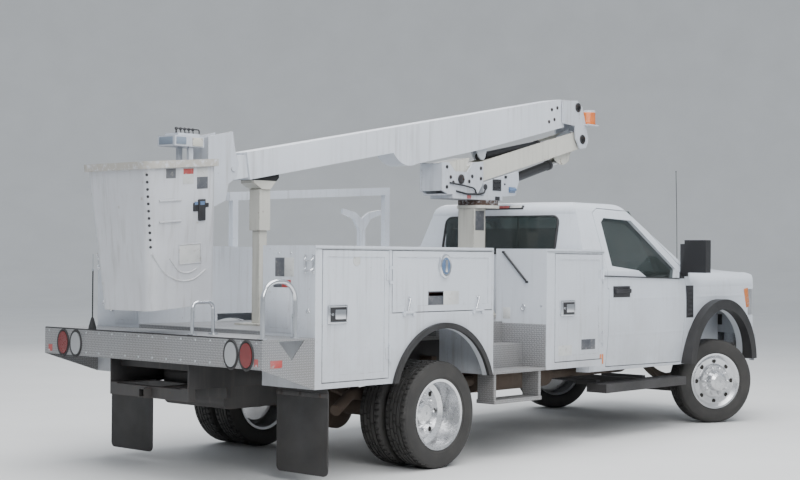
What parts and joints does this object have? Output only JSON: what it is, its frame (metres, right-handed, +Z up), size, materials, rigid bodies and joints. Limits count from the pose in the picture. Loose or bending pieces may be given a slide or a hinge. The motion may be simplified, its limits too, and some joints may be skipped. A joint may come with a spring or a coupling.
{
  "type": "cherry picker truck",
  "caption": "Crew-free utility truck with a hollow cab, tool compartments, and a folded two-part telescopic boom that carries a personnel basket.",
  "frame": {"origin": "on the ground under the middle of the whole truck's box", "axes": "+X forward, +Y to the truck's left, +Z up"},
  "size_m": [7.3971, 2.596, 3.0519],
  "materials": {
    "white_paint": "gloss, road dirt",
    "body_paint": "gloss, road dirt and scuffs",
    "boom_white": "satin gel coat, weathered",
    "cream_paint": "semi-gloss, chipped and stained",
    "grey_paint": "satin, worn",
    "basket_shell": "satin moulded shell with a chipped rim",
    "black_frame": "satin, dusty",
    "black_steel": "semi-gloss, worn",
    "rusty_steel": "matt, surface rust",
    "bare_rod": "polished",
    "chrome_trim": "polished",
    "wheel_steel": "bright wheel cover",
    "tyre_rubber": "matt",
    "black_rubber": "matt, faded",
    "black_plastic": "matt, grained",
    "grey_plastic": "matt",
    "lamp_lens": "gloss lens",
    "window_glass": "gloss, tinted",
    "interior_trim": "matt",
    "engine_block": "matt, oily",
    "tread_aluminium": "raised tread plate, dull"
  },
  "bodies": {
    "chassis": {"arch_flares": "black_rubber", "body_floor": "tread_aluminium", "boom_rest": "cream_paint", "cab_glass": "window_glass", "cab_interior": "interior_trim", "cab_shell": "white_paint", "compartments_left": "body_paint", "compartments_right": "body_paint", "engine": "engine_block", "exhaust": "rusty_steel", "frame_rails": "black_frame", "front_axle": "black_frame", "front_bumper": "chrome_trim", "front_fenders": "white_paint", "fuel_tank": "black_steel", "grab_rails": "chrome_trim", "grille": "black_plastic", "ladder_rack": "body_paint", "lamps": "lamp_lens", "leaf_springs": "rusty_steel", "mud_flaps": "black_rubber", "pedestal": "cream_paint", "rear_axle": "rusty_steel", "running_boards": "black_plastic", "tail_shelf": "tread_aluminium"},
    "hood": {"hood": "white_paint"},
    "cab_door_right": {"cab_door_right": "white_paint", "door_glass_right": "window_glass"},
    "cab_door_left": {"cab_door_left": "white_paint", "door_glass_left": "window_glass"},
    "knuckle_right": {"front_knuckle_right": "black_frame"},
    "knuckle_left": {"front_knuckle_left": "black_frame"},
    "front_wheel_right": {"front_wheel_right": "wheel_steel", "front_tyre_right": "tyre_rubber"},
    "front_wheel_left": {"front_wheel_left": "wheel_steel", "front_tyre_left": "tyre_rubber"},
    "rear_wheels_right": {"rear_wheels_right": "wheel_steel", "rear_tyres_right": "tyre_rubber"},
    "rear_wheels_left": {"rear_wheels_left": "wheel_steel", "rear_tyres_left": "tyre_rubber"},
    "turret": {"turret": "grey_paint", "control_box": "grey_plastic"},
    "lower_boom": {"lower_boom": "cream_paint"},
    "lift_barrel": {"lift_cylinder": "black_steel"},
    "lift_rod": {"lift_rod": "bare_rod"},
    "elbow": {"elbow": "grey_paint"},
    "upper_boom": {"upper_boom": "boom_white"},
    "upper_barrel": {"upper_cylinder": "black_steel"},
    "upper_rod": {"upper_rod": "bare_rod"},
    "inner_boom": {"inner_boom": "boom_white"},
    "platform": {"basket": "basket_shell", "basket_bracket": "grey_paint", "upper_controls": "grey_plastic"},
    "rear_door_right": {"body_rear_door_right": "body_paint"},
    "rear_door_left": {"body_rear_door_left": "body_paint"},
    "drop_door_right": {"body_drop_door_right": "body_paint"},
    "drop_door_left": {"body_drop_door_left": "body_paint"},
    "front_door_right": {"body_front_door_right": "body_paint"},
    "front_door_left": {"body_front_door_left": "body_paint"},
    "middle_door_left": {"body_middle_door_left": "body_paint"}
  },
  "joints": [
    {"name": "turntable_rotation", "type": "hinge", "parent": "chassis", "child": "turret", "pos_m": [0.307, 0, 2.018], "axis": [0, 0, 1], "continuous": true},
    {"name": "lower_boom_lift", "type": "hinge", "parent": "turret", "child": "lower_boom", "pos_m": [-0.085, 0, 2.233], "axis": [0, -1, 0], "range_deg": [0, 75]},
    {"name": "elbow_level", "type": "hinge", "parent": "lower_boom", "child": "elbow", "pos_m": [1.729, 0, 2.69], "axis": [0, -1, 0], "range_deg": [-75, 0]},
    {"name": "upper_boom_lift", "type": "hinge", "parent": "elbow", "child": "upper_boom", "pos_m": [1.654, 0, 2.987], "axis": [0, 1, 0], "range_deg": [0, 85]},
    {"name": "telescope", "type": "slide", "parent": "upper_boom", "child": "inner_boom", "axis": [-0.9837, 0, -0.1797], "range_m": [0, 2.4]},
    {"name": "platform_level", "type": "hinge", "parent": "inner_boom", "child": "platform", "pos_m": [-2.675, 0, 2.19638], "axis": [0, 1, 0], "range_deg": [-85, 0]},
    {"name": "lift_barrel_swing", "type": "hinge", "parent": "turret", "child": "lift_barrel", "pos_m": [0.359, 0, 2.155], "axis": [0, -1, 0], "range_deg": [-1, 84.4]},
    {"name": "lift_rod_stroke", "type": "slide", "parent": "lift_barrel", "child": "lift_rod", "axis": [0.9634, 0, 0.2681], "range_m": [0, 0.509]},
    {"name": "upper_barrel_swing", "type": "hinge", "parent": "upper_boom", "child": "upper_barrel", "pos_m": [0.319, 0, 2.452], "axis": [0, 1, 0], "range_deg": [-5.3, 1]},
    {"name": "upper_rod_stroke", "type": "slide", "parent": "upper_barrel", "child": "upper_rod", "axis": [0.9826, 0, 0.1856], "range_m": [0, 0.401]},
    {"name": "steering_right", "type": "hinge", "parent": "chassis", "child": "knuckle_right", "pos_m": [2.729, -0.905, 0.398], "axis": [0, 0, 1], "range_deg": [-9, 65]},
    {"name": "steering_left", "type": "hinge", "parent": "chassis", "child": "knuckle_left", "pos_m": [2.729, 0.905, 0.398], "axis": [0, 0, 1], "range_deg": [-9, 65]},
    {"name": "front_spin_right", "type": "hinge", "parent": "knuckle_right", "child": "front_wheel_right", "pos_m": [2.70787, -0.94473, 0.398], "axis": [0.4695, 0.8829, 0], "continuous": true},
    {"name": "rear_spin_right", "type": "hinge", "parent": "chassis", "child": "rear_wheels_right", "pos_m": [-1.571, -0.94, 0.398], "axis": [0, 1, 0], "continuous": true},
    {"name": "front_spin_left", "type": "hinge", "parent": "knuckle_left", "child": "front_wheel_left", "pos_m": [2.75013, 0.94473, 0.398], "axis": [0.4695, 0.8829, 0], "continuous": true},
    {"name": "rear_spin_left", "type": "hinge", "parent": "chassis", "child": "rear_wheels_left", "pos_m": [-1.571, 0.94, 0.398], "axis": [0, 1, 0], "continuous": true},
    {"name": "cab_door_swing_right", "type": "hinge", "parent": "chassis", "child": "cab_door_right", "pos_m": [2.144, -1.012, 1.1], "axis": [0, 0, 1], "range_deg": [0, 65]},
    {"name": "cab_door_swing_left", "type": "hinge", "parent": "chassis", "child": "cab_door_left", "pos_m": [2.144, 1.012, 1.1], "axis": [0, 0, -1], "range_deg": [0, 65]},
    {"name": "hood_lift", "type": "hinge", "parent": "chassis", "child": "hood", "pos_m": [2.276, 0, 1.506], "axis": [0, -1, 0], "range_deg": [0, 45]},
    {"name": "rear_door_swing_right", "type": "hinge", "parent": "chassis", "child": "rear_door_right", "pos_m": [-2.173, -1.205, 1.155], "axis": [0, 0, 1], "range_deg": [0, 90]},
    {"name": "rear_door_swing_left", "type": "hinge", "parent": "chassis", "child": "rear_door_left", "pos_m": [-2.173, 1.205, 1.155], "axis": [0, 0, -1], "range_deg": [0, 90]},
    {"name": "drop_door_drop_right", "type": "hinge", "parent": "chassis", "child": "drop_door_right", "pos_m": [-1.57, -1.205, 1.162], "axis": [1, 0, 0], "range_deg": [0, 90]},
    {"name": "drop_door_drop_left", "type": "hinge", "parent": "chassis", "child": "drop_door_left", "pos_m": [-1.57, 1.205, 1.162], "axis": [-1, 0, 0], "range_deg": [0, 90]},
    {"name": "middle_door_swing_left", "type": "hinge", "parent": "chassis", "child": "middle_door_left", "pos_m": [-0.318, 1.205, 1.155], "axis": [0, 0, -1], "range_deg": [0, 90]},
    {"name": "front_door_swing_right", "type": "hinge", "parent": "chassis", "child": "front_door_right", "pos_m": [0.492, -1.205, 1.1575], "axis": [0, 0, 1], "range_deg": [0, 90]},
    {"name": "front_door_swing_left", "type": "hinge", "parent": "chassis", "child": "front_door_left", "pos_m": [0.492, 1.205, 1.1575], "axis": [0, 0, -1], "range_deg": [0, 90]}
  ],
  "couplings": [
    {"joint": "elbow_level", "follows": "lower_boom_lift", "ratio": -1},
    {"joint": "platform_level", "follows": "upper_boom_lift", "ratio": -1},
    {"joint": "lift_barrel_swing", "follows": "lower_boom_lift", "ratio": 1.1122},
    {"joint": "lift_rod_stroke", "follows": "lower_boom_lift", "m_per_rad": 0.38765},
    {"joint": "upper_barrel_swing", "follows": "upper_boom_lift", "ratio": -0.0503},
    {"joint": "upper_rod_stroke", "follows": "upper_boom_lift", "m_per_rad": 0.26904},
    {"joint": "steering_left", "follows": "steering_right", "ratio": 1}
  ]
}
